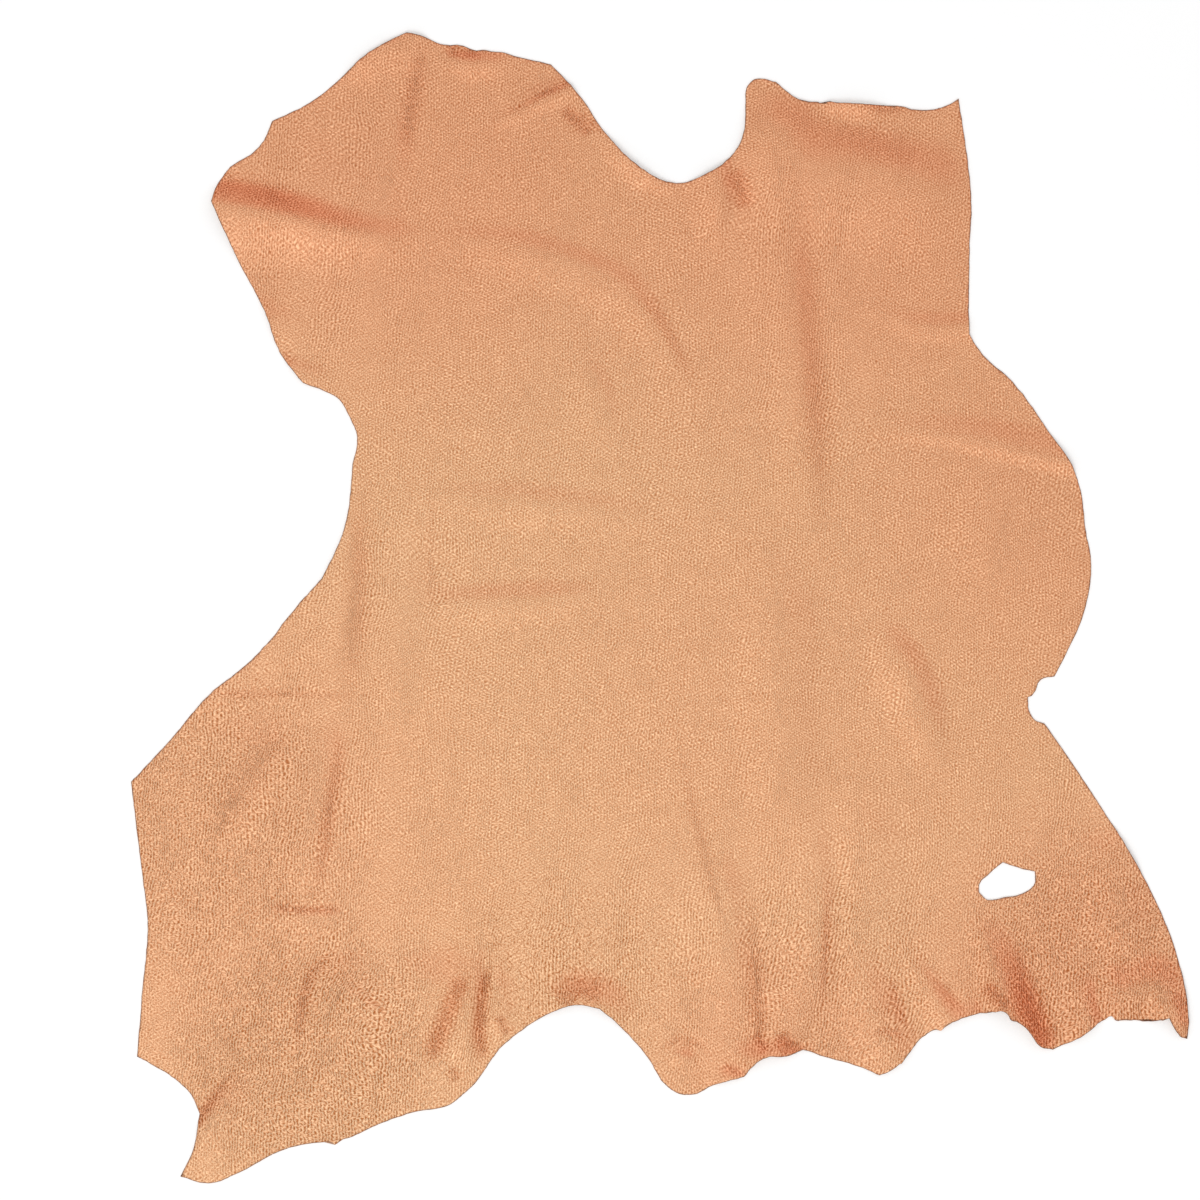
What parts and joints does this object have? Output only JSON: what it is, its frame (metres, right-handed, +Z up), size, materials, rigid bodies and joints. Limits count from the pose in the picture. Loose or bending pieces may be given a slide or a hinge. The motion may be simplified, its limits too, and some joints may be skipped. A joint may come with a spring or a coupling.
{
  "type": "leather hide",
  "caption": "Whole small tanned skin lying flat, with low folds, curled edges, a scalloped cut edge and one hole.",
  "frame": {"origin": "on the surface that the skin lies on, under the middle of its width and length", "axes": "+Z up through the skin, from the flesh side to the grain side; +Y from the tail to the neck"},
  "size_m": [0.8983, 0.9781, 0.0132],
  "materials": {
    "leather": "pebbled grain with a satin copper sheen"
  },
  "bodies": {
    "root": {"hide": "leather"}
  },
  "joints": []
}
